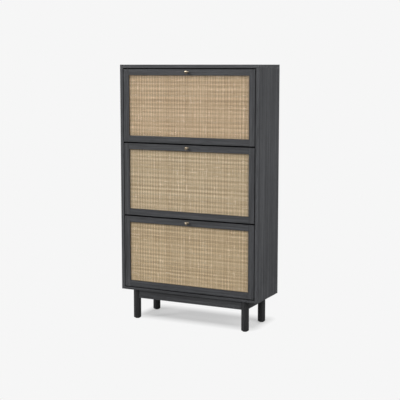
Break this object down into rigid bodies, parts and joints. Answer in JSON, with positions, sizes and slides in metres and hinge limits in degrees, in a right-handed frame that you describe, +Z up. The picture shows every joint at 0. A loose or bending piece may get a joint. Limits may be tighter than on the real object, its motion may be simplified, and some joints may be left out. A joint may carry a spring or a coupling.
{
  "type": "shoe cabinet",
  "caption": "Slim upright shoe cabinet: dark stained box on a low round-legged base, with woven-cane fronts that tilt out on lower axles and carry shoe trays.",
  "frame": {"origin": "on the floor, in the middle of the cabinet's outline, with its knobs counted in the depth", "axes": "+Z up, +X to the right of someone facing the fronts, which face -Y"},
  "size_m": [0.7, 0.259, 1.2],
  "materials": {
    "stained_oak": "charcoal stained oak, satin, open grain",
    "black_board": "black faced board, matt",
    "woven_cane": "natural woven cane, satin",
    "backing_board": "brown hardboard, matt",
    "brass": "satin brass",
    "black_steel": "black powder coat",
    "black_plastic": "black moulded plastic, fine texture"
  },
  "bodies": {
    "cabinet": {"top_panel": "stained_oak", "side_panel_left": "stained_oak", "side_panel_right": "stained_oak", "bottom_panel": "stained_oak", "divider_lower": "black_board", "divider_upper": "black_board", "back_panel": "black_board", "mounting_rail": "black_board", "leg_front_left": "stained_oak", "leg_front_right": "stained_oak", "leg_back_left": "stained_oak", "leg_back_right": "stained_oak", "base_rail_front": "stained_oak", "base_rail_back": "stained_oak", "base_rail_left": "stained_oak", "base_rail_right": "stained_oak", "glide_front_left": "black_plastic", "glide_front_right": "black_plastic", "glide_back_left": "black_plastic", "glide_back_right": "black_plastic", "pivot_plate_bottom_left": "black_steel", "pivot_plate_bottom_right": "black_steel", "pivot_plate_middle_left": "black_steel", "pivot_plate_middle_right": "black_steel", "pivot_plate_top_left": "black_steel", "pivot_plate_top_right": "black_steel"},
    "flap_bottom": {"front_bottom_stile_left": "stained_oak", "front_bottom_stile_right": "stained_oak", "front_bottom_rail_upper": "stained_oak", "front_bottom_rail_lower": "stained_oak", "front_bottom_cane_panel": "woven_cane", "front_bottom_backing_board": "backing_board", "front_bottom_knob": "brass", "rack_bottom_bracket_left": "black_steel", "rack_bottom_bracket_right": "black_steel", "rack_bottom_tray_front": "black_plastic", "rack_bottom_tray_rear": "black_plastic"},
    "flap_middle": {"front_middle_stile_left": "stained_oak", "front_middle_stile_right": "stained_oak", "front_middle_rail_upper": "stained_oak", "front_middle_rail_lower": "stained_oak", "front_middle_cane_panel": "woven_cane", "front_middle_backing_board": "backing_board", "front_middle_knob": "brass", "rack_middle_bracket_left": "black_steel", "rack_middle_bracket_right": "black_steel", "rack_middle_tray_front": "black_plastic", "rack_middle_tray_rear": "black_plastic"},
    "flap_top": {"front_top_stile_left": "stained_oak", "front_top_stile_right": "stained_oak", "front_top_rail_upper": "stained_oak", "front_top_rail_lower": "stained_oak", "front_top_cane_panel": "woven_cane", "front_top_backing_board": "backing_board", "front_top_knob": "brass", "rack_top_bracket_left": "black_steel", "rack_top_bracket_right": "black_steel", "rack_top_tray_front": "black_plastic", "rack_top_tray_rear": "black_plastic"}
  },
  "joints": [
    {"name": "front_bottom_tilt", "type": "hinge", "parent": "cabinet", "child": "flap_bottom", "pos_m": [0, -0.1015, 0.17099], "axis": [1, 0, 0], "range_deg": [0, 40]},
    {"name": "front_middle_tilt", "type": "hinge", "parent": "cabinet", "child": "flap_middle", "pos_m": [0, -0.1015, 0.51449], "axis": [1, 0, 0], "range_deg": [0, 40]},
    {"name": "front_top_tilt", "type": "hinge", "parent": "cabinet", "child": "flap_top", "pos_m": [0, -0.1015, 0.85799], "axis": [1, 0, 0], "range_deg": [0, 40]}
  ]
}
